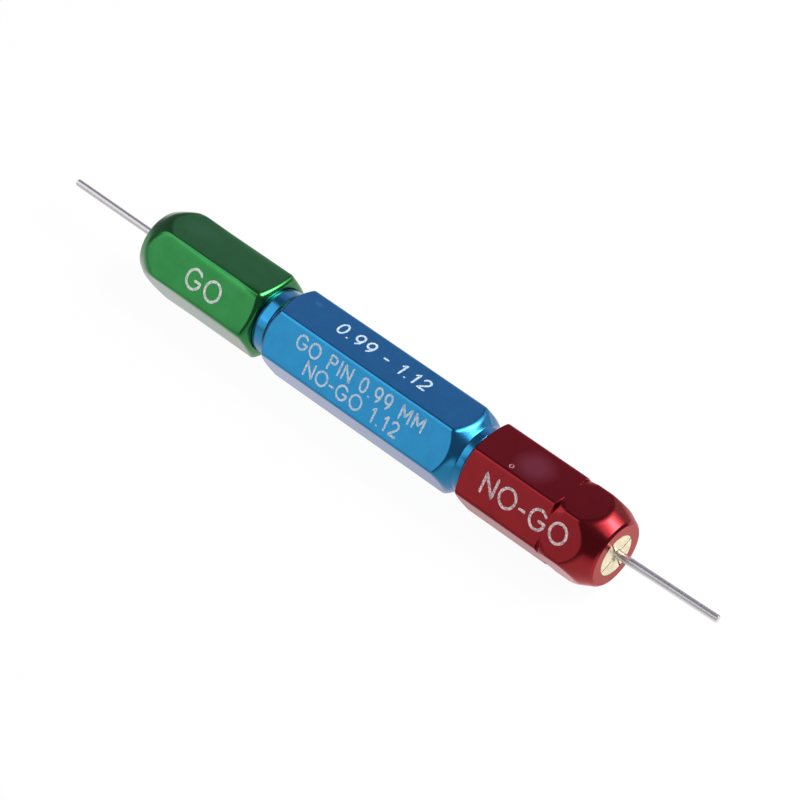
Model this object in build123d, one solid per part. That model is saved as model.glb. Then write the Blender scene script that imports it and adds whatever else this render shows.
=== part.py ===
from build123d import *

# Double-ended GO / NO-GO pin gauge: a hexagonal aluminium handle with a threaded stud at
# each end, and on each stud a hexagonal nut that closes a slotted brass collet on a steel pin.
# Millimetres. +X runs along the gauge towards the NO-GO end and +Z is up. The gauge lies on
# the flats of its handle, and the origin is the centre of the handle's lower flat.
import os
from math import radians, sqrt, tan

# Hexagonal bar that the handle and both nuts are made from
hex_across_flats = 11.11
hex_edge_radius = 0.25

# Handle, from its middle outwards
handle_hex_length = 30.1
handle_shoulder_angle = 41.0
collar_diameter = 9.525
collar_length = 1.1
thread_diameter = 9.1
thread_length = 7.6
pilot_diameter = 8.2
stud_edge_break = 0.2
pin_bore_diameter = 4.0
web_between_bores = 7.4
drill_point_angle = 118.0

# Nuts, measured from the mouth to the nose
nut_length = 21.38
nut_gap = 0.44
mouth_face_diameter = 9.9
mouth_bend_diameter = 11.5
mouth_bend_length = 0.27
mouth_corner_length = 0.8
mouth_entry = 0.2
nut_thread_length = 7.2
nose_length = 3.95
nose_face_diameter = 8.8
nose_edge_diameter = 9.46
nose_edge_length = 0.29
nut_hole_diameter = 5.84

# Ring groove that marks the NO-GO nut: it cuts only the corners of the hexagon
groove_from_nose = 6.68
groove_width = 1.15
groove_floor_diameter = 11.52
groove_floor_width = 0.5

# Collets
collet_taper_angle = 9.0
collet_land_diameter = 7.5
collet_land_length = 0.83
collet_land_stand_off = 0.565
collet_back_angle = 25.0
collet_tail_diameter = 5.2
collet_tail_length = 0.6
slot_width = 0.22
slot_count = 2
unslotted_length = 1.4
countersink_diameter = 1.9
countersink_depth = 0.35

# Pins
pin_length = 50.8
go_pin_diameter = 0.991
nogo_pin_diameter = 1.118
pin_tip_chamfer = 0.1
go_pin_stand_off = 2.34
nogo_pin_stand_off = 0.86

# How the photographed gauge was put together: turn of each nut and collet about the
# axis, and the slight lean of the NO-GO pin in its collet
go_nut_clock_angle = -1.3
nogo_nut_clock_angle = 3.4
go_collet_clock_angle = 20.0
nogo_collet_clock_angle = 27.0
nogo_pin_lean_angle = 1.5
nogo_pin_lean_heading_angle = 41.0
nogo_pin_lean_depth = 10.2

# Clearances, all radial
pin_clearance = 0.02
taper_clearance = 0.02
thread_clearance = 0.03
pilot_clearance = 0.05
tail_gap = 0.3

# Values that follow from the sizes above
axis_height = hex_across_flats / 2
corner_radius = hex_across_flats / sqrt(3)
shoulder_start = handle_hex_length / 2
shoulder_end = shoulder_start + (corner_radius - collar_diameter / 2) / tan(radians(handle_shoulder_angle))
collar_end = shoulder_end + collar_length
mouth = collar_end + nut_gap
nose = mouth + nut_length
back_slope = tan(radians(collet_back_angle))
front_slope = tan(radians(collet_taper_angle))
land_radius = collet_land_diameter / 2
tail_radius = collet_tail_diameter / 2
collet_face_radius = nut_hole_diameter / 2 - taper_clearance
land_front = nose - (land_radius - collet_face_radius) / front_slope
land_back = land_front - collet_land_length
stud_reach = land_back - collet_land_stand_off
back_taper_end = land_back - (land_radius - tail_radius) / back_slope
tail_end = back_taper_end - collet_tail_length
beyond = 1.0


def turned(points):
    """Solid of revolution about the X axis of a closed outline of (x, radius) points."""
    return revolve(make_face(Plane.XZ * Polyline(*points, close=True)), Axis.X)


def hex_bar(start, end, clock):
    """Length of hexagonal bar along X with softened edges, turned by clock about X."""
    section = RegularPolygon(corner_radius, 6)
    section = fillet(section.vertices(), hex_edge_radius)
    bar = extrude(Plane.YZ.offset(start) * section, end - start)
    return Rot(clock, 0, 0) * bar


def other_end(part):
    """The same part at the GO end of the gauge."""
    return Rot(0, 0, 180) * part


def make_stud_bore():
    """Blind bore of one stud: seat for the collet's tail and back taper, then the pin's bore."""
    seat_radius = tail_radius + taper_clearance
    taper_start = back_taper_end
    taper_mouth = stud_reach + beyond
    taper_mouth_radius = seat_radius + (taper_mouth - taper_start) * back_slope
    bore_radius = pin_bore_diameter / 2
    bore_bottom = web_between_bores / 2
    drill_point = bore_radius / tan(radians(drill_point_angle / 2))
    return turned([
        (bore_bottom - drill_point, 0),
        (bore_bottom, bore_radius),
        (tail_end - tail_gap, bore_radius),
        (tail_end - tail_gap, seat_radius),
        (taper_start, seat_radius),
        (taper_mouth, taper_mouth_radius),
        (taper_mouth, 0),
    ])


def make_handle():
    """Hexagonal handle with a turned shoulder, collar and stud at each end."""
    collar = collar_diameter / 2
    thread = thread_diameter / 2
    pilot = pilot_diameter / 2
    thread_end = collar_end + thread_length
    outside = corner_radius + beyond
    outside_x = shoulder_start - beyond / tan(radians(handle_shoulder_angle))
    half = turned([
        (0, 0),
        (0, outside),
        (outside_x, outside),
        (shoulder_end, collar),
        (collar_end, collar),
        (collar_end, thread),
        (thread_end, thread),
        (thread_end, pilot),
        (stud_reach - stud_edge_break, pilot),
        (stud_reach, pilot - stud_edge_break),
        (stud_reach, 0),
    ])
    half = (half & hex_bar(0, stud_reach, 0)) - make_stud_bore()
    return half + other_end(half)


def make_nut(clock, grooved):
    """Hexagonal nut at the NO-GO end, with a crowned mouth, a turned nose and a taper seat."""
    outside = corner_radius + beyond
    mouth_bend = mouth_bend_diameter / 2
    mouth_corner = mouth + mouth_corner_length
    nose_start = nose - nose_length
    nose_edge = nose - nose_edge_length
    body = turned([
        (mouth, 0),
        (mouth, mouth_face_diameter / 2),
        (mouth + mouth_bend_length, mouth_bend),
        (mouth_corner, corner_radius),
        (mouth_corner, outside),
        (nose_start, outside),
        (nose_start, corner_radius),
        (nose_edge, nose_edge_diameter / 2),
        (nose, nose_face_diameter / 2),
        (nose, 0),
    ])
    body &= hex_bar(mouth, nose, clock)

    thread = thread_diameter / 2 + thread_clearance
    pilot = pilot_diameter / 2 + pilot_clearance
    taper_radius = land_radius + taper_clearance + taper_clearance
    hole = nut_hole_diameter / 2
    taper_start = nose - (taper_radius - hole) / front_slope
    thread_end = mouth + nut_thread_length
    bore = turned([
        (mouth - beyond, 0),
        (mouth - beyond, thread + mouth_entry + beyond),
        (mouth + mouth_entry, thread),
        (thread_end, thread),
        (thread_end, pilot),
        (taper_start - (pilot - taper_radius), pilot),
        (taper_start, taper_radius),
        (nose + beyond, hole - beyond * front_slope),
        (nose + beyond, 0),
    ])
    nut = body - bore
    if grooved:
        near = nose - groove_from_nose
        far = near - groove_width
        floor = groove_floor_diameter / 2
        flank = (outside - floor) * (groove_width - groove_floor_width) / (corner_radius - floor)
        nut -= turned([
            (far, floor),
            (far, outside),
            (far + groove_floor_width + flank, outside),
            (far + groove_floor_width, floor),
        ])
    return nut


def make_collet(clock, pin_diameter, place):
    """Slotted double-taper collet at the NO-GO end, bored for its pin."""
    body = turned([
        (tail_end, 0),
        (tail_end, tail_radius),
        (back_taper_end, tail_radius),
        (land_back, land_radius),
        (land_front, land_radius),
        (nose, collet_face_radius),
        (nose, 0),
    ])
    slot_start = tail_end + unslotted_length
    slot_reach = nose - slot_start + beyond
    slot = Pos(slot_start + slot_reach / 2, 0, 0) * Box(slot_reach, collet_land_diameter + beyond, slot_width)
    for number in range(slot_count):
        body -= Rot(clock + number * 180 / slot_count, 0, 0) * slot

    hole = pin_diameter / 2 + pin_clearance
    back = tail_end - nose - beyond
    bore = turned([(back, 0), (back, hole), (beyond, hole), (beyond, 0)])
    mouth_radius = countersink_diameter / 2
    countersink = turned([
        (nose - countersink_depth, 0),
        (nose - countersink_depth, hole),
        (nose, mouth_radius),
        (nose + beyond, mouth_radius),
        (nose + beyond, 0),
    ])
    return body - countersink - place * bore


def make_pin(diameter, stand_off, place):
    """Ground steel pin with both ends broken, its inner end clear of the bore's bottom by stand_off."""
    radius = diameter / 2
    start = web_between_bores / 2 + stand_off - nose
    reach = start + pin_length
    pin = turned([
        (start, 0),
        (start, radius - pin_tip_chamfer),
        (start + pin_tip_chamfer, radius),
        (reach - pin_tip_chamfer, radius),
        (reach, radius - pin_tip_chamfer),
        (reach, 0),
    ])
    return place * pin


def pin_place(lean, heading, depth):
    """Place of a pin at the collet's face, leaning from a point on the axis depth behind it."""
    turn = Rot(heading, 0, 0) * Rot(0, 0, lean) * Rot(-heading, 0, 0)
    return Pos(nose - depth, 0, 0) * turn * Pos(depth, 0, 0)


straight = pin_place(0, 0, 0)
leaned = pin_place(nogo_pin_lean_angle, nogo_pin_lean_heading_angle, nogo_pin_lean_depth)
parts = {
    "handle": make_handle(),
    "nogo_nut": make_nut(nogo_nut_clock_angle, True),
    "nogo_collet": make_collet(nogo_collet_clock_angle, nogo_pin_diameter, leaned),
    "nogo_pin": make_pin(nogo_pin_diameter, nogo_pin_stand_off, leaned),
    "go_nut": other_end(make_nut(-go_nut_clock_angle, False)),
    "go_collet": other_end(make_collet(-go_collet_clock_angle, go_pin_diameter, straight)),
    "go_pin": other_end(make_pin(go_pin_diameter, go_pin_stand_off, straight)),
}

os.makedirs("parts", exist_ok=True)
for node, part in parts.items():
    export_step(Pos(0, 0, axis_height) * part, f"parts/{node}.step")
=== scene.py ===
# Looks of the double-ended GO / NO-GO pin gauge: turned and anodised shapes, screw threads,
# marked words, a pale floor, soft studio light and the camera. Metres, or mm where a comment
# says so.
from math import atan, ceil, cos, pi, radians, sin, tan

import bmesh
import bpy
import numpy as np
from mathutils import Matrix, Quaternion, Vector


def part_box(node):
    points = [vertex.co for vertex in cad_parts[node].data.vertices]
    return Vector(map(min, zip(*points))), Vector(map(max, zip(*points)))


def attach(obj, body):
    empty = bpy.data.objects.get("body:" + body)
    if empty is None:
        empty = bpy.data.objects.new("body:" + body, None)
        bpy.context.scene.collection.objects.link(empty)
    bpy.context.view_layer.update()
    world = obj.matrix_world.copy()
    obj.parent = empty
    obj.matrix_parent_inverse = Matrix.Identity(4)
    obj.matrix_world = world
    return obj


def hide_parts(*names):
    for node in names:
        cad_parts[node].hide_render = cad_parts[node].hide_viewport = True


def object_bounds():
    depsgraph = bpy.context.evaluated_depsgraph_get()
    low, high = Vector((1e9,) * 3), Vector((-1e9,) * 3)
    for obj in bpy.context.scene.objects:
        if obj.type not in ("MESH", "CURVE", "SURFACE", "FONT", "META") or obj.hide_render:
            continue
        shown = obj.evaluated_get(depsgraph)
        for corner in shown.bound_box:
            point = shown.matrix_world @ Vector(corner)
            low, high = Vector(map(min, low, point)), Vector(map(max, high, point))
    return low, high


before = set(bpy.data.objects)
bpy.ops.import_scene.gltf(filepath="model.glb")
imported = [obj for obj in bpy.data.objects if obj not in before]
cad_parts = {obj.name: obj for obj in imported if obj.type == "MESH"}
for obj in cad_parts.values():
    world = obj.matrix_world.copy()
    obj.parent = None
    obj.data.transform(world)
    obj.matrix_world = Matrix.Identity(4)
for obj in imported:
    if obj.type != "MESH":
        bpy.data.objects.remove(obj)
cad_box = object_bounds()

MM = 0.001

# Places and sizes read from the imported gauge, whose axis runs along X
HANDLE_LOW, HANDLE_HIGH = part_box("handle")
AXIS_HEIGHT = (HANDLE_LOW.z + HANDLE_HIGH.z) / 2
APOTHEM = (HANDLE_HIGH.z - HANDLE_LOW.z) / 2
TOP_HEIGHT = HANDLE_HIGH.z
STUD_END = HANDLE_HIGH.x
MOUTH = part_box("nogo_nut")[0].x
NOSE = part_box("nogo_nut")[1].x

# Directions of the marked flats and turns of the nuts, in degrees from +Y towards +Z
FRONT_FACE_ANGLE = 150.0
TOP_FACE_ANGLE = 90.0
GO_NUT_TURN = -1.3
NOGO_NUT_TURN = 3.4

# Hexagonal bar: half the angle of a side, the corners' distance from the axis, the radius of the
# rounded edges, the angle at which a flat ends, and a radius that clears the corners
HALF_SIDE = radians(30)
SIDES = 6
CORNER_RADIUS = APOTHEM / cos(HALF_SIDE)
EDGE_RADIUS = 0.50 * MM
FLAT_LIMIT = atan(tan(HALF_SIDE) * (APOTHEM - EDGE_RADIUS) / APOTHEM)
CLEAR_RADIUS = 6.72 * MM

# Fineness of the turned meshes, and how softly a turned outline meets the bar's flats where its
# corner doesn't say otherwise
FLAT_STEPS = 36
EDGE_STEPS = 8
ARC_STEPS = 6
CROWN_POINTS = 24
LONG_STEP = 4.0 * MM
FINE_STEP = 0.06 * MM
COUNT_MARGIN = 1e-6
SHARP_SOFTNESS = 0.05 * MM
MERGE_DISTANCE = 1e-7
SHARP_ANGLE = 35.0

# Turned ends of the handle
SHOULDER_START = 15.05 * MM
GO_SHOULDER_END = 16.50 * MM
NOGO_SHOULDER_END = 16.95 * MM
SHOULDER_SOFTNESS = 0.38 * MM
SHOULDER_LEAD = 0.6 * MM
SHOULDER_FILLET = 0.4 * MM
COLLAR_RADIUS = 4.7625 * MM
COLLAR_END = 18.05 * MM
COLLAR_ROUNDING = 0.06 * MM
RELIEF_RADIUS = 4.71 * MM
RELIEF_STEP = 0.05 * MM
PILOT_RADIUS = 4.1 * MM
PILOT_ROUNDING = 0.05 * MM
STUD_EDGE = 0.2 * MM
SEAT_RADIUS = 2.62 * MM
SEAT_LENGTH = 0.9 * MM
SEAT_ANGLE = 25.0
SEAT_MOUTH_RADIUS = 3.506 * MM
PIN_BORE_RADIUS = 2.0 * MM
PIN_BORE_BOTTOM = 3.7 * MM
DRILL_POINT = 1.2 * MM

# Screw thread of the studs and nuts. Foot and tip are half the ridge's width, in pitches. At its
# ends the ridge has a small share of its height, and it gains THREAD_FADE times the height a turn.
PITCH = 0.79375 * MM
THREAD_START = COLLAR_END + 1.3 * MM
THREAD_END = THREAD_START + 6.3 * MM
THREAD_RUN_OUT = 0.1 * MM
THREAD_SINK = 0.01 * MM
THREAD_STEPS = 72
THREAD_FOOT = 0.42
THREAD_TIP = 0.09
THREAD_FADE = 3.0
THREAD_END_SHARE = 0.05
STUD_ROOT = 4.52 * MM
STUD_CREST = 4.72 * MM
NUT_ROOT = 4.80 * MM
NUT_CREST = 4.58 * MM
NUT_THREAD_RECESS = 1.0 * MM
NUT_THREAD_LENGTH = 7.2 * MM

# Turned ends and bore of the nuts, from the mouth and back from the nose
MOUTH_CROWN_HEIGHT = 0.05 * MM
NOSE_LENGTH = 3.95 * MM
NOSE_LEAD = 0.4 * MM
NOSE_EDGE_RADIUS = 4.73 * MM
NOSE_EDGE_LENGTH = 0.29 * MM
NOSE_EDGE_STEP = 0.1 * MM
NOSE_FACE_RADIUS = 4.4 * MM
NOSE_FACE_ROUNDING = 0.1 * MM
NOSE_FACE_STEP = 0.3 * MM
HOLE_RADIUS = 2.92 * MM
HOLE_ROUNDING = 0.03 * MM
TAPER_RADIUS = 3.79 * MM
TAPER_ANGLE = 9.0
PILOT_CLEARANCE = 0.05 * MM

# Where the two nuts differ: how softly their ends meet the flats, how far the mouth's chamfer
# reaches, and how round the nose is
GO_NUT_SHAPE = {
    "soft_mouth": 0.85 * MM,
    "mouth_face": 5.15 * MM,
    "mouth_length": 0.68 * MM,
    "soft_nose": 0.45 * MM,
    "nose_crown": 0.10 * MM,
    "nose_rounding": 0.20 * MM,
}
NOGO_NUT_SHAPE = {
    "soft_mouth": 0.35 * MM,
    "mouth_face": 5.42 * MM,
    "mouth_length": 0.42 * MM,
    "soft_nose": 0.20 * MM,
    "nose_crown": 0.04 * MM,
    "nose_rounding": 0.30 * MM,
}

# Ring groove of the NO-GO nut, from its steep wall on the mouth's side over a narrow floor to a
# soft run-out. Each point has its distance past the wall's foot, radius, rounding, step and
# softness, in millimetres.
GROOVE_FROM_NOSE = 7.83 * MM
GROOVE_PROFILE = (
    (-0.50, 6.72, 0.00, 0.05, 0.19),
    (-0.12, 6.72, 0.00, 0.04, 0.19),
    (-0.03, 6.02, 0.00, 0.04, 0.12),
    (0.00, 5.82, 0.04, 0.05, 0.12),
    (0.10, 5.82, 0.08, 0.04, 0.12),
    (0.34, 6.02, 0.16, 0.05, 0.19),
    (0.62, 6.12, 0.00, 0.05, 0.26),
    (1.40, 6.35, 0.30, 0.05, 0.26),
    (1.70, 6.72, 0.00, 0.05, 0.26),
)

# Words: stroke widths, the space between letters in the glyphs' own units, and how far the marks
# stand off a flat, where neighbouring strokes take turns at a few levels. How long a piece of a
# stroke is, how ragged its edges are, and how far and how wide its ends reach are shares of half
# its width.
NUT_STROKE = 0.38 * MM
HANDLE_STROKE = 0.30 * MM
RING_STROKE = 0.14 * MM
LETTER_GAP = 0.31
MARK_LIFT = 0.012 * MM
MARK_STEP = 0.001 * MM
MARK_LEVELS = 3
MARK_SEED = 7
STROKE_PITCH = 0.9
STROKE_RAGGED = (0.86, 1.12)
STROKE_END_REACH = 0.8
STROKE_END_WIDTH = 0.72

# Anodised finish: lowest and highest roughness, and how deep a patch on the top flat goes and
# which share of it has its full colour. The patch is a stain on the blue and green parts and a
# painted reflection on the red nut.
ANODISED_ROUGHNESS = (0.16, 0.25)
PATCH_DEPTH = 1.0 * MM
PATCH_CORE = 0.35

# Floor: its size, how much of it is seen as plain white, and the painted light and shade in its
# glow that the metal sees: how bright it is along X, further to the right, and towards the front
FLOOR_SIZE = 12.0
FLOOR_WHITE_SHARE = 0.96
FLOOR_ALONG_RANGE = (-0.035, 0.015)
FLOOR_ALONG = (0.88, 0.67)
FLOOR_RIGHT_RANGE = (0.030, 0.045)
FLOOR_RIGHT = (0.0, 0.55)
FLOOR_FRONT_RANGE = (-0.050, -0.003)
FLOOR_FRONT = (0.55, 1.0)

# Soft boxes: direction from the gauge, distance, width, height, radiance and colour
WHITE = (1.0, 1.0, 1.0)
PALE_VIOLET = (0.88, 0.62, 0.96)
SOFT_BOXES = {
    "window": ((0.50, 0.40, 0.77), 0.70, 0.78, 0.52, 1.8, WHITE),
    "window_core": ((0.50, 0.40, 0.74), 0.69, 0.46, 0.30, 3.2, WHITE),
    "window_heart": ((0.50, 0.40, 0.75), 0.68, 0.30, 0.20, 9.5, WHITE),
    "front_left_high": ((-0.61, -0.49, 0.68), 0.70, 0.66, 0.54, 1.20, WHITE),
    "front_left_low": ((-0.61, -0.77, 0.20), 0.70, 0.58, 0.30, 0.80, WHITE),
    "back": ((-0.11, 0.93, 0.33), 0.70, 0.98, 0.36, 0.42, WHITE),
    "back_left": ((-0.45, 0.62, 0.64), 0.70, 0.34, 0.30, 0.33, PALE_VIOLET),
}
ROOM_COLOUR = (0.92, 0.80, 1.0)
ROOM_STRENGTH = 0.20

# Camera, fitted to the photograph
CAMERA_PLACE = Vector((0.16597, -0.21172, 0.24607))
CAMERA_TARGET = Vector((0.003316, 0.000432, 0.005937))
CAMERA_ROLL = 7.59
CAMERA_LENS = 126.0
CAMERA_SENSOR = 36.0
CAMERA_CLIP = 0.01


def corner(x, radius, rounding=0.0, step=LONG_STEP, softness=SHARP_SOFTNESS):
    """A corner of a turned outline, with the longest step and the softness up to the next one."""
    return Vector((x, radius)), rounding, step, softness


def outline(corners):
    """Dense (x, radius, softness) points of a turned outline whose corners are rounded by arcs."""
    arcs = {}
    ends = [[place.copy(), place.copy()] for place, *_ in corners]
    for i in range(1, len(corners) - 1):
        point, rounding = corners[i][:2]
        if not rounding:
            continue
        back = (corners[i - 1][0] - point).normalized()
        ahead = (corners[i + 1][0] - point).normalized()
        half = back.angle(ahead) / 2
        ends[i] = [point + back * rounding / tan(half), point + ahead * rounding / tan(half)]
        arcs[i] = point + (back + ahead).normalized() * rounding / sin(half)
    points = []
    for i, (_, _, step, softness) in enumerate(corners):
        points.append((*ends[i][0], softness))
        if i in arcs:
            first = ends[i][0] - arcs[i]
            turn = first.angle_signed(ends[i][1] - arcs[i])
            for k in range(1, ARC_STEPS):
                spoke = Matrix.Rotation(-turn * k / ARC_STEPS, 2) @ first
                points.append((*(arcs[i] + spoke), softness))
            points.append((*ends[i][1], softness))
        if i < len(corners) - 1:
            run = ends[i + 1][0] - ends[i][1]
            count = ceil(run.length / step - COUNT_MARGIN)
            for k in range(1, count):
                points.append((*(ends[i][1] + run * k / count), softness))
    return points


def crown(start, end, height):
    """Points of a shallow arc between two points of an outline, which bulges by height."""
    chord = end - start
    out = Vector((-chord.y, chord.x)).normalized()
    if out.y < 0:
        out = -out
    return [start + chord * t + out * height * (1 - (2 * t - 1) ** 2)
            for t in np.linspace(0, 1, CROWN_POINTS)]


def mirrored(points):
    """The same outline at the other end of the gauge."""
    return [(-x, radius, softness) for x, radius, softness in reversed(points)]


def handle_outline(shoulder_end):
    """Half of the handle's outline, from the middle of its side to the bottom of a stud's bore."""
    slope = (CLEAR_RADIUS - COLLAR_RADIUS) / (CORNER_RADIUS - COLLAR_RADIUS)
    clear = shoulder_end - (shoulder_end - SHOULDER_START) * slope
    seat_end = STUD_END - (SEAT_MOUTH_RADIUS - SEAT_RADIUS) / tan(radians(SEAT_ANGLE))
    thread_floor = STUD_ROOT + THREAD_SINK
    return outline([
        corner(0, CLEAR_RADIUS, softness=SHOULDER_SOFTNESS),
        corner(clear - SHOULDER_LEAD, CLEAR_RADIUS, 0, FINE_STEP, SHOULDER_SOFTNESS),
        corner(clear, CLEAR_RADIUS, 0, FINE_STEP, SHOULDER_SOFTNESS),
        corner(shoulder_end, COLLAR_RADIUS, SHOULDER_FILLET),
        corner(COLLAR_END, COLLAR_RADIUS, COLLAR_ROUNDING),
        corner(COLLAR_END, RELIEF_RADIUS, COLLAR_ROUNDING),
        corner(THREAD_START, RELIEF_RADIUS),
        corner(THREAD_START + RELIEF_STEP, thread_floor),
        corner(THREAD_END, thread_floor),
        corner(THREAD_END + THREAD_RUN_OUT, PILOT_RADIUS, PILOT_ROUNDING),
        corner(STUD_END - STUD_EDGE, PILOT_RADIUS),
        corner(STUD_END, PILOT_RADIUS - STUD_EDGE),
        corner(STUD_END, SEAT_MOUTH_RADIUS),
        corner(seat_end, SEAT_RADIUS),
        corner(seat_end - SEAT_LENGTH, SEAT_RADIUS),
        corner(seat_end - SEAT_LENGTH, PIN_BORE_RADIUS),
        corner(PIN_BORE_BOTTOM, PIN_BORE_RADIUS),
        corner(PIN_BORE_BOTTOM - DRILL_POINT, 0),
    ])


def mouth_corners(soft_mouth, mouth_face, mouth_length):
    """A nut's outline over its mouth: the face and a crowned chamfer that runs out of the bar."""
    start = Vector((MOUTH, mouth_face))
    end = Vector((MOUTH + mouth_length, CORNER_RADIUS))
    points = crown(start, end, MOUTH_CROWN_HEIGHT)
    lead = (points[-1] - points[-2]).normalized()
    run_out = points[-1] + lead * (CLEAR_RADIUS - CORNER_RADIUS) / lead.y
    return [corner(MOUTH, NUT_ROOT),
            *(corner(*point, 0, FINE_STEP, soft_mouth) for point in points),
            corner(*run_out, 0, LONG_STEP, soft_mouth)]


def groove_corners():
    """The NO-GO nut's outline through its ring groove, which cuts only the edges of the bar."""
    wall = NOSE - GROOVE_FROM_NOSE
    return [corner(wall + past * MM, radius * MM, rounding * MM, step * MM, softness * MM)
            for past, radius, rounding, step, softness in GROOVE_PROFILE]


def nose_corners(soft_nose, nose_crown, nose_rounding):
    """A nut's outline over its nose: a crowned cone, a broken edge and the face."""
    start = Vector((NOSE - NOSE_LENGTH, CORNER_RADIUS))
    end = Vector((NOSE - NOSE_EDGE_LENGTH, NOSE_EDGE_RADIUS))
    points = crown(start, end, nose_crown)
    lead = (points[0] - points[1]).normalized()
    run_in = points[0] + lead * (CLEAR_RADIUS - points[0].y) / lead.y
    return [corner(run_in.x - NOSE_LEAD, CLEAR_RADIUS, 0, FINE_STEP, soft_nose),
            corner(run_in.x, CLEAR_RADIUS, 0, FINE_STEP, soft_nose),
            *(corner(*point, 0, FINE_STEP, soft_nose) for point in points[:-1]),
            corner(*end, nose_rounding, NOSE_EDGE_STEP),
            corner(NOSE, NOSE_FACE_RADIUS, NOSE_FACE_ROUNDING, NOSE_FACE_STEP)]


def bore_corners():
    """A nut's outline through its bore, from the nose's hole back to the thread."""
    taper_start = NOSE - (TAPER_RADIUS - HOLE_RADIUS) / tan(radians(TAPER_ANGLE))
    thread_end = MOUTH + NUT_THREAD_LENGTH
    pilot = PILOT_RADIUS + PILOT_CLEARANCE
    return [corner(NOSE, HOLE_RADIUS, HOLE_ROUNDING),
            corner(taper_start, TAPER_RADIUS),
            corner(taper_start - (pilot - TAPER_RADIUS), pilot),
            corner(thread_end, pilot),
            corner(thread_end, NUT_ROOT)]


def nut_outline(shape, grooved):
    """The closed outline of a nut at the NO-GO end, from the mouth over the side to the bore."""
    mouth = mouth_corners(shape["soft_mouth"], shape["mouth_face"], shape["mouth_length"])
    groove = groove_corners() if grooved else []
    nose = nose_corners(shape["soft_nose"], shape["nose_crown"], shape["nose_rounding"])
    return outline(mouth + groove + nose + bore_corners())


def side_angles():
    """Angles round the axis from a flat's middle, with points of their own on the rounded edges."""
    flat = np.linspace(-FLAT_LIMIT, FLAT_LIMIT, FLAT_STEPS + 1)
    rounding = np.linspace(FLAT_LIMIT, 2 * HALF_SIDE - FLAT_LIMIT, EDGE_STEPS + 1)[1:-1]
    sector = np.concatenate([flat, rounding])
    return np.concatenate([sector + 2 * HALF_SIDE * k for k in range(SIDES)])


def side_radius(angles):
    """Distance from the axis to the side of the hexagonal bar at angles from a flat's middle."""
    off_flat = (angles + HALF_SIDE) % (2 * HALF_SIDE) - HALF_SIDE
    off_edge = HALF_SIDE - abs(off_flat)
    centre = (APOTHEM - EDGE_RADIUS) / cos(HALF_SIDE)
    height = np.sqrt(np.maximum(EDGE_RADIUS ** 2 - (centre * np.sin(off_edge)) ** 2, 0))
    edge = centre * np.cos(off_edge) + height
    return np.where(abs(off_flat) <= FLAT_LIMIT, APOTHEM / np.cos(off_flat), edge)


def soft_minimum(first, second, width):
    """The lesser of two radii, blended where they differ by less than width."""
    overlap = np.maximum(width - abs(first - second), 0)
    return np.minimum(first, second) - overlap ** 2 / (4 * width)


def skin(bm, rings, closed=False, capped=False):
    """Faces between neighbouring rings of vertices, closed on themselves or capped at both ends."""
    pairs = list(zip(rings, rings[1:]))
    if closed:
        pairs.append((rings[-1], rings[0]))
    for near, far in pairs:
        for k in range(len(near)):
            after = (k + 1) % len(near)
            bm.faces.new((near[k], near[after], far[after], far[k]))
    if capped:
        bm.faces.new(rings[0][::-1])
        bm.faces.new(rings[-1])


def mesh_object(name, bm, material, smooth=False):
    """A new object from a bmesh, with its outside facing out."""
    bmesh.ops.recalc_face_normals(bm, faces=bm.faces)
    mesh = bpy.data.meshes.new(name)
    bm.to_mesh(mesh)
    bm.free()
    mesh.materials.append(material)
    for polygon in mesh.polygons:
        polygon.use_smooth = smooth
    piece = bpy.data.objects.new(name, mesh)
    bpy.context.scene.collection.objects.link(piece)
    return piece


def turned_hexagon(node, points, turn, slot, closed):
    """Hexagonal bar cut by a turned outline, in place of a node; a closed outline has a bore."""
    angles = side_angles()
    x, radius, softness = np.array(points).T[:, :, None]
    reach = soft_minimum(side_radius(angles)[None, :], radius, softness)
    around = angles + radians(TOP_FACE_ANGLE + turn)
    grid = np.stack([np.broadcast_to(x, reach.shape), reach * np.cos(around),
                     AXIS_HEIGHT + reach * np.sin(around)], -1)
    bm = bmesh.new()
    rings = [[bm.verts.new(point) for point in ring] for ring in grid.tolist()]
    skin(bm, rings, closed)
    bmesh.ops.remove_doubles(bm, verts=bm.verts, dist=MERGE_DISTANCE)
    piece = mesh_object(node + "_turned", bm, finishes[slot], smooth=True)
    piece.data.set_sharp_from_angle(angle=radians(SHARP_ANGLE))
    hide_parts(node)
    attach(piece, node)


def screw_thread(name, body, start, end, root, crest, shift, slot):
    """Right-hand helical ridge about the axis between start and end, fading in and out."""
    sign = 1 if end > start else -1
    count = round(abs(end - start) / PITCH * THREAD_STEPS)
    section = ((-THREAD_FOOT, root), (-THREAD_TIP, crest), (THREAD_TIP, crest), (THREAD_FOOT, root))
    bm = bmesh.new()
    rings = []
    for i in range(count + 1):
        turns = i / THREAD_STEPS
        left = (count - i) / THREAD_STEPS
        angle = 2 * pi * sign * (turns + shift)
        fade = min(1.0, THREAD_END_SHARE + THREAD_FADE * min(turns, left))
        ring = []
        for across, radius in section:
            faded = root + (radius - root) * fade
            ring.append(bm.verts.new((start + sign * PITCH * turns + across * PITCH,
                                      faded * cos(angle), AXIS_HEIGHT + faded * sin(angle))))
        rings.append(ring)
    skin(bm, rings, capped=True)
    piece = mesh_object(name, bm, finishes[slot])
    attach(piece, body)


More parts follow.
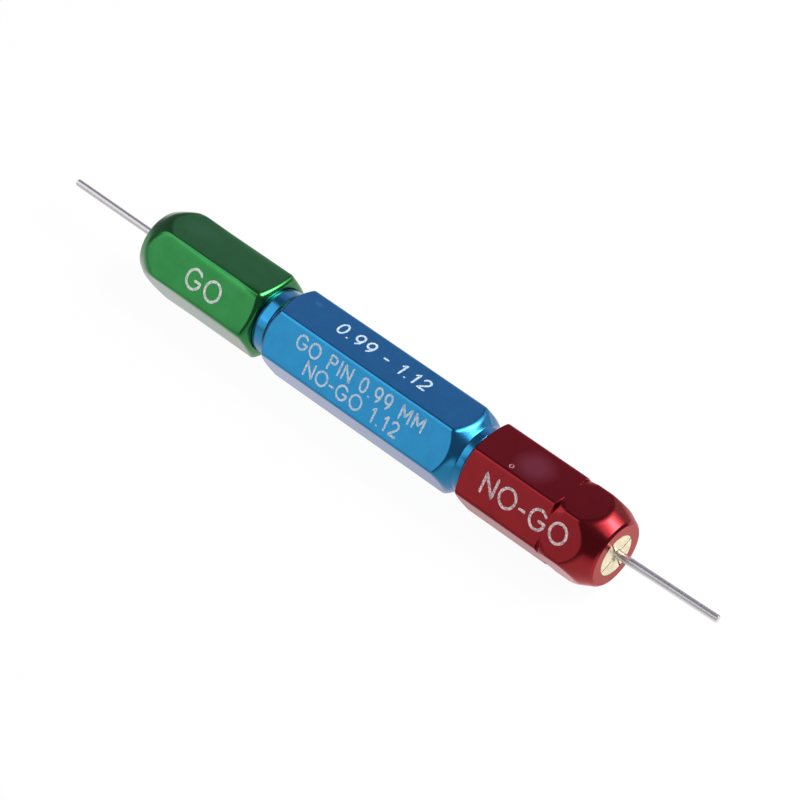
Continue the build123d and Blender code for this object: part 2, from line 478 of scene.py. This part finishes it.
class Graph:
    """Short calls for the nodes and links of a material's or a world's node tree."""

    def __init__(self, owner):
        owner.use_nodes = True
        self.tree = owner.node_tree

    def feed(self, socket, source):
        """Links an input to another node's output, or sets it to a plain value or colour."""
        if isinstance(source, bpy.types.NodeSocket):
            self.tree.links.new(source, socket)
        elif socket.type == "RGBA":
            socket.default_value = (*source, 1)
        else:
            socket.default_value = source

    def fill(self, node, **values):
        """Sets properties and inputs of a node, each by its name."""
        for key, value in values.items():
            if hasattr(node, key):
                setattr(node, key, value)
            else:
                self.feed(node.inputs[key.replace("_", " ")], value)
        return node

    def add(self, kind, **values):
        """A new node with the values given."""
        return self.fill(self.tree.nodes.new("ShaderNode" + kind), **values)

    def join(self, node, *sources):
        """Feeds the first inputs of a node in their order."""
        for socket, source in zip(node.inputs, sources):
            self.feed(socket, source)
        return node

    def math(self, operation, first, second):
        """Number worked out from two numbers."""
        return self.join(self.add("Math", operation=operation), first, second).outputs[0]

    def vector_math(self, operation, first, second):
        """Vector worked out from two vectors."""
        return self.join(self.add("VectorMath", operation=operation), first, second).outputs[0]

    def ramp(self, value, low, high, bottom=0.0, top=1.0):
        """Number mapped from low..high to bottom..top, held at the ends."""
        return self.join(self.add("MapRange", clamp=True), value, low, high, bottom, top).outputs[0]

    def mix_colours(self, factor, first, second):
        """Colour that goes from first to second as factor goes from 0 to 1."""
        mix = self.add("Mix", data_type="RGBA")
        colour_inputs = mix.inputs[6:8]
        for socket, source in zip((mix.inputs[0], *colour_inputs), (factor, first, second)):
            self.feed(socket, source)
        return mix.outputs[2]

    def mix_shaders(self, factor, first, second):
        """Shader that goes from first to second as factor goes from 0 to 1."""
        return self.join(self.add("MixShader"), factor, first, second).outputs[0]

    def seen_through(self):
        """1 for what the camera sees directly or through glass, and the light path's outputs."""
        path = self.add("LightPath").outputs
        return self.math("MAXIMUM", path["Is Camera Ray"], path["Is Transmission Ray"]), path


def new_material(name):
    """A new material, the graph of its nodes, its shader and the place on the object."""
    material = bpy.data.materials.new(name)
    graph = Graph(material)
    shader = graph.tree.nodes["Principled BSDF"]
    return material, graph, shader, graph.add("TexCoord").outputs["Object"]


def anodised(name, colour, deep, edge_tint, stain_and_reflection, patch_place, patch_size):
    """Dyed anodised aluminium: satin metal under a clear oxide, faintly mottled, with one patch on
    the top flat: a stain on blue and green, a painted reflection on red.
    """
    material, graph, shader, place = new_material(name)
    cloud = graph.add("TexNoise", Vector=place, Scale=420.0, Detail=4.0, Roughness=0.6).outputs[0]
    grain = graph.add("TexNoise", Vector=place, Scale=9000.0, Detail=2.0, Roughness=0.6).outputs[0]
    dye = graph.mix_colours(graph.ramp(cloud, 0.3, 0.7), deep, colour)
    # The patch on the top flat: a stain on blue and green, a painted violet reflection on red
    centre = (patch_place[0] * MM, patch_place[1] * MM, TOP_HEIGHT)
    spread = (patch_size[0] * MM, patch_size[1] * MM, PATCH_DEPTH)
    around = graph.vector_math("DIVIDE", graph.vector_math("SUBTRACT", place, centre), spread)
    distance = graph.join(graph.add("VectorMath", operation="LENGTH"), around).outputs["Value"]
    in_patch = graph.ramp(distance, PATCH_CORE, 1.0, 1.0, 0.0)
    bump = graph.add("Bump", Height=grain, Strength=0.12, Distance=0.00002)
    graph.fill(shader, Base_Color=graph.mix_colours(in_patch, dye, stain_and_reflection), Metallic=1.0,
               Roughness=graph.ramp(grain, 0.3, 0.7, *ANODISED_ROUGHNESS),
               Specular_Tint=edge_tint, Coat_Weight=0.8, Coat_Roughness=0.2, Coat_IOR=1.36,
               Normal=bump.outputs[0])
    return material


def brass():
    """Faced brass with a fine uneven grain."""
    material, graph, shader, place = new_material("brass")
    cloud = graph.add("TexNoise", Vector=place, Scale=1500.0, Detail=4.0).outputs[0]
    tint = graph.mix_colours(graph.ramp(cloud, 0.35, 0.65), (0.74, 0.65, 0.43), (0.87, 0.80, 0.58))
    bump = graph.add("Bump", Height=cloud, Strength=0.3, Distance=0.00003)
    graph.fill(shader, Base_Color=tint, Metallic=0.75, Roughness=0.42, Normal=bump.outputs[0])
    return material


def steel():
    """Ground steel with fine marks round the pin."""
    material, graph, shader, place = new_material("steel")
    stretched = graph.add("Mapping", Vector=place, Scale=(9000.0, 500.0, 500.0)).outputs[0]
    marks = graph.add("TexNoise", Vector=stretched, Scale=1.0, Detail=3.0).outputs[0]
    tint = graph.mix_colours(graph.ramp(marks, 0.3, 0.7), (0.56, 0.56, 0.57), (0.68, 0.68, 0.68))
    graph.fill(shader, Base_Color=tint, Metallic=1.0,
               Roughness=graph.ramp(marks, 0.3, 0.7, 0.30, 0.40))
    return material


def marking(name, light, dark):
    """Rough bare metal where a laser burned the dye away."""
    material, graph, shader, place = new_material(name)
    speck = graph.add("TexNoise", Vector=place, Scale=3800.0, Detail=3.0, Roughness=0.7).outputs[0]
    tint = graph.mix_colours(graph.ramp(speck, 0.42, 0.56), dark, light)
    bump = graph.add("Bump", Height=speck, Strength=0.6, Distance=0.00004)
    graph.fill(shader, Base_Color=tint, Metallic=0.1, Roughness=0.75, Normal=bump.outputs[0])
    return material


def floor_finish():
    """Pale floor that keeps a faint shadow, white to the camera, and to metal a glow with painted
    light and shade across it.
    """
    material, graph, shader, place = new_material("floor")
    graph.fill(shader, Base_Color=(0.9, 0.9, 0.9), Roughness=0.8)
    seen, path = graph.seen_through()
    share = graph.math("MULTIPLY", graph.math("MAXIMUM", seen, path["Is Glossy Ray"]),
                       FLOOR_WHITE_SHARE)
    # Painted light and shade seen only in the metal: the glow fades along +X, brightens further to
    # the right and darkens towards the front as a painted shadow
    x, y, _ = graph.join(graph.add("SeparateXYZ"), place).outputs
    along = graph.ramp(x, *FLOOR_ALONG_RANGE, *FLOOR_ALONG)
    right = graph.ramp(x, *FLOOR_RIGHT_RANGE, *FLOOR_RIGHT)
    front = graph.ramp(y, *FLOOR_FRONT_RANGE, *FLOOR_FRONT)
    reflected = graph.math("MULTIPLY", graph.math("ADD", along, right), front)
    white = graph.add("Emission", Color=WHITE, Strength=graph.math("MAXIMUM", seen, reflected))
    surface = graph.mix_shaders(share, shader.outputs[0], white.outputs[0])
    graph.feed(graph.tree.nodes["Material Output"].inputs["Surface"], surface)
    return material


def arc(cx, cy, rx, ry, start, end, steps=20):
    """Points of an elliptical arc, angles in degrees."""
    angles = np.radians(np.linspace(start, end, steps))
    return [(cx + rx * cos(a), cy + ry * sin(a)) for a in angles]


# Single-stroke letters in a cell one unit high: width, then the strokes
GLYPHS = {
    "G": (0.88, [arc(0.44, 0.5, 0.44, 0.5, 40, 335) + [(0.86, 0.45), (0.52, 0.45)]]),
    "O": (0.90, [arc(0.45, 0.5, 0.45, 0.5, 0, 360, 32)]),
    "N": (0.68, [[(0.0, 0), (0.0, 1), (0.68, 0), (0.68, 1)]]),
    "P": (0.66, [[(0.04, 0), (0.04, 1), (0.36, 1)]
                 + arc(0.36, 0.75, 0.26, 0.25, 90, -90, 10) + [(0.04, 0.5)]]),
    "I": (0.12, [[(0.06, 0), (0.06, 1)]]),
    "M": (0.88, [[(0.04, 0), (0.04, 1), (0.44, 0.3), (0.84, 1), (0.84, 0)]]),
    "-": (0.30, [[(0.0, 0.42), (0.30, 0.42)]]),
    ".": (0.12, [[(0.05, 0.0), (0.07, 0.0)]]),
    " ": (0.30, []),
    "0": (0.60, [arc(0.30, 0.5, 0.28, 0.5, 0, 360, 24)]),
    "1": (0.34, [[(0.04, 0.78), (0.24, 1), (0.24, 0)]]),
    "2": (0.58, [arc(0.29, 0.72, 0.26, 0.28, 165, -35, 12) + [(0.03, 0), (0.56, 0)]]),
    "9": (0.60, [arc(0.30, 0.67, 0.27, 0.33, 0, 360, 24),
                 [(0.57, 0.67), (0.56, 0.48), (0.49, 0.22), (0.33, 0.0)]]),
}


def text_strokes(text, height, width):
    """Strokes of a line of text, scaled to a height and a width, from its lower left corner."""
    strokes = []
    pen = 0.0
    for letter in text:
        advance, lines = GLYPHS[letter]
        strokes += [[(pen + x, y) for x, y in line] for line in lines]
        pen += advance + LETTER_GAP
    total = pen - LETTER_GAP
    return [[(x * width / total, y * height) for x, y in line] for line in strokes]


def face_point(angle, along, across, lift):
    """Point on a flat of the hexagon: across runs down the flat, lift stands off it."""
    out = Vector((0, cos(radians(angle)), sin(radians(angle))))
    down = Vector((0, -sin(radians(angle)), cos(radians(angle))))
    return Vector((along, 0, AXIS_HEIGHT)) + out * (APOTHEM + lift) + down * across


def ribbon(bm, line, half_width, place, rng, top, bottom):
    """A closed flat bead along a line of points, slightly ragged at its edges."""
    line = [Vector(p) for p in line]
    closed = len(line) > 3 and (line[0] - line[-1]).length < half_width
    dense = []
    for a, b in zip(line, line[1:]):
        steps = max(1, round((b - a).length / (half_width * STROKE_PITCH)))
        dense += [a.lerp(b, i / steps) for i in range(steps)]
    if not closed:
        dense.append(line[-1])
    count = len(dense)
    rings = []
    for i, p in enumerate(dense):
        before = dense[i - 1] if closed or i else p
        after = dense[(i + 1) % count] if closed or i < count - 1 else p
        run = (after - before).normalized()
        side = Vector((-run.y, run.x))
        width = half_width
        if not closed and i in (0, count - 1):
            reach = half_width * STROKE_END_REACH
            p = p - run * reach if i == 0 else p + run * reach
            width = half_width * STROKE_END_WIDTH
        left = p + side * width * rng.uniform(*STROKE_RAGGED)
        right = p - side * width * rng.uniform(*STROKE_RAGGED)
        rings.append([bm.verts.new(place(q.x, q.y, lift))
                      for q, lift in ((left, bottom), (left, top), (right, top), (right, bottom))])
    skin(bm, rings, closed, capped=not closed)


def mark_face(name, body, angle, lines, stroke, material):
    """Words marked on one flat; each line is its text, left end, width, top and height in mm."""
    rng = np.random.default_rng(MARK_SEED)
    inset = stroke / 2
    bm = bmesh.new()
    for text, *sizes in lines:
        left, width, top, height = (size * MM for size in sizes)

        def place(x, y, lift):
            return face_point(angle, left + inset + x, top + height - inset - y, lift)

        for number, line in enumerate(text_strokes(text, height - stroke, width - stroke)):
            level = MARK_LIFT + number % MARK_LEVELS * MARK_STEP
            ribbon(bm, line, inset, place, rng, level, -MARK_LIFT)
    piece = mesh_object(name, bm, material)
    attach(piece, body)


def soft_box(name, direction, distance, width, height, radiance, colour):
    """Rectangular soft light that looks at the gauge from a direction."""
    light = bpy.data.lights.new(name, "AREA")
    light.shape = "RECTANGLE"
    light.size = width
    light.size_y = height
    light.energy = radiance * pi * width * height
    light.color = colour
    lamp = bpy.data.objects.new(name, light)
    toward = Vector(direction).normalized()
    lamp.location = toward * distance
    lamp.rotation_euler = (-toward).to_track_quat("-Z", "Y").to_euler()
    bpy.context.scene.collection.objects.link(lamp)


# Finishes by material slot. A patch lies on the top flat, and its place and size along X and Y
# are in mm. It is a stain on the blue and green parts and a painted reflection on the red nut.
finishes = {
    "blue_anodised": anodised(
        "blue_anodised", colour=(0.014, 0.275, 0.540), deep=(0.012, 0.240, 0.490),
        edge_tint=(1.0, 0.83, 0.98), stain_and_reflection=(0.040, 0.350, 0.640),
        patch_place=(-12.7, 1.5), patch_size=(0.9, 0.5)),
    "green_anodised": anodised(
        "green_anodised", colour=(0.022, 0.255, 0.054), deep=(0.016, 0.220, 0.044),
        edge_tint=(1.0, 0.85, 1.0), stain_and_reflection=(0.034, 0.262, 0.078),
        patch_place=(-33.6, 0.65), patch_size=(3.2, 1.9)),
    # The red nut's patch is a painted reflection, a pale violet sheen on its top flat, not a stain
    "red_anodised": anodised(
        "red_anodised", colour=(0.272, 0.002, 0.007), deep=(0.238, 0.001, 0.006),
        edge_tint=(1.0, 0.28, 0.39), stain_and_reflection=(0.380, 0.062, 0.085),
        patch_place=(26.3, -0.5), patch_size=(3.3, 2.9)),
    "brass": brass(),
    "pin_steel": steel(),
}
pale = marking("marking", light=(0.93, 0.98, 0.90), dark=(0.52, 0.64, 0.50))
pale_blue = marking("marking_blue", light=(0.72, 0.84, 0.92), dark=(0.40, 0.60, 0.75))
faint_red = marking("marking_faint", light=(0.52, 0.27, 0.29), dark=(0.34, 0.12, 0.14))
pale_red = marking("marking_red", light=(0.95, 0.80, 0.78), dark=(0.44, 0.27, 0.28))

# Collets and pins keep their solids
for end in ("go", "nogo"):
    for kind, slot in (("collet", "brass"), ("pin", "pin_steel")):
        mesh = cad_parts[f"{end}_{kind}"].data
        mesh.materials.clear()
        mesh.materials.append(finishes[slot])

# Handle and nuts
handle_points = mirrored(handle_outline(GO_SHOULDER_END)) + handle_outline(NOGO_SHOULDER_END)[1:]
turned_hexagon("handle", handle_points, 0, "blue_anodised", closed=False)
turned_hexagon("go_nut", mirrored(nut_outline(GO_NUT_SHAPE, grooved=False)), GO_NUT_TURN,
               "green_anodised", closed=True)
turned_hexagon("nogo_nut", nut_outline(NOGO_NUT_SHAPE, grooved=True), NOGO_NUT_TURN,
               "red_anodised", closed=True)

# Words and the small ring on the NO-GO nut
mark_face("go_word", "go_nut", FRONT_FACE_ANGLE + GO_NUT_TURN,
          [("GO", -30.63, 6.32, -1.41, 3.13)], NUT_STROKE, pale)
mark_face("nogo_word", "nogo_nut", FRONT_FACE_ANGLE + NOGO_NUT_TURN,
          [("NO-GO", 21.8, 13.7, -1.73, 3.0)], NUT_STROKE, pale_red)
mark_face("nogo_ring_mark", "nogo_nut", TOP_FACE_ANGLE + NOGO_NUT_TURN,
          [("O", 23.76, 0.68, 1.83, 0.68)], RING_STROKE, faint_red)
mark_face("handle_front_words", "handle", FRONT_FACE_ANGLE,
          [("GO PIN 0.99 MM", -11.0, 22.2, -2.45, 2.2), ("NO-GO 1.12", -8.2, 16.4, 0.10, 2.2)],
          HANDLE_STROKE, pale_blue)
mark_face("handle_top_words", "handle", TOP_FACE_ANGLE,
          [("0.99 - 1.12", -8.0, 15.8, -1.47, 2.2)], HANDLE_STROKE, pale_blue)

# Threads: the nut's ridge lies midway between the turns of the stud's
nut_thread_start = MOUTH + NUT_THREAD_RECESS
nut_thread_end = MOUTH + NUT_THREAD_LENGTH - 0.5 * PITCH
nut_thread_shift = 0.5 + (nut_thread_start - THREAD_START) / PITCH
for sign, end, slot in ((-1, "go", "green_anodised"), (1, "nogo", "red_anodised")):
    screw_thread(end + "_stud_thread", "handle", sign * THREAD_START, sign * THREAD_END,
                 STUD_ROOT, STUD_CREST, 0.0, "blue_anodised")
    screw_thread(end + "_nut_thread", end + "_nut", sign * nut_thread_start,
                 sign * nut_thread_end, NUT_ROOT, NUT_CREST, nut_thread_shift, slot)

# Floor, just under the gauge
floor_bm = bmesh.new()
bmesh.ops.create_grid(floor_bm, x_segments=2, y_segments=2, size=FLOOR_SIZE / 2)
floor = mesh_object("floor", floor_bm, floor_finish())
floor.location.z = min(cad_box[0][2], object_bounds()[0][2])

# Light: soft boxes in a dim room, which the camera sees as plain white
for name, values in SOFT_BOXES.items():
    soft_box(name, *values)
world = bpy.data.worlds.new("studio")
bpy.context.scene.world = world
graph = Graph(world)
room = graph.fill(graph.tree.nodes["Background"], Color=ROOM_COLOUR, Strength=ROOM_STRENGTH)
backdrop = graph.add("Background", Color=WHITE)
surroundings = graph.mix_shaders(graph.seen_through()[0], room.outputs[0], backdrop.outputs[0])
graph.feed(graph.tree.nodes["World Output"].inputs["Surface"], surroundings)

# Camera
camera_data = bpy.data.cameras.new("camera")
camera_data.lens = CAMERA_LENS
camera_data.sensor_width = CAMERA_SENSOR
camera_data.clip_start = CAMERA_CLIP
camera = bpy.data.objects.new("camera", camera_data)
camera.location = CAMERA_PLACE
aim = (CAMERA_TARGET - CAMERA_PLACE).to_track_quat("-Z", "Y")
camera.rotation_mode = "QUATERNION"
camera.rotation_quaternion = aim @ Quaternion((0, 0, 1), radians(CAMERA_ROLL))
bpy.context.scene.collection.objects.link(camera)
bpy.context.scene.camera = camera
bpy.context.scene.view_settings.view_transform = "Standard"
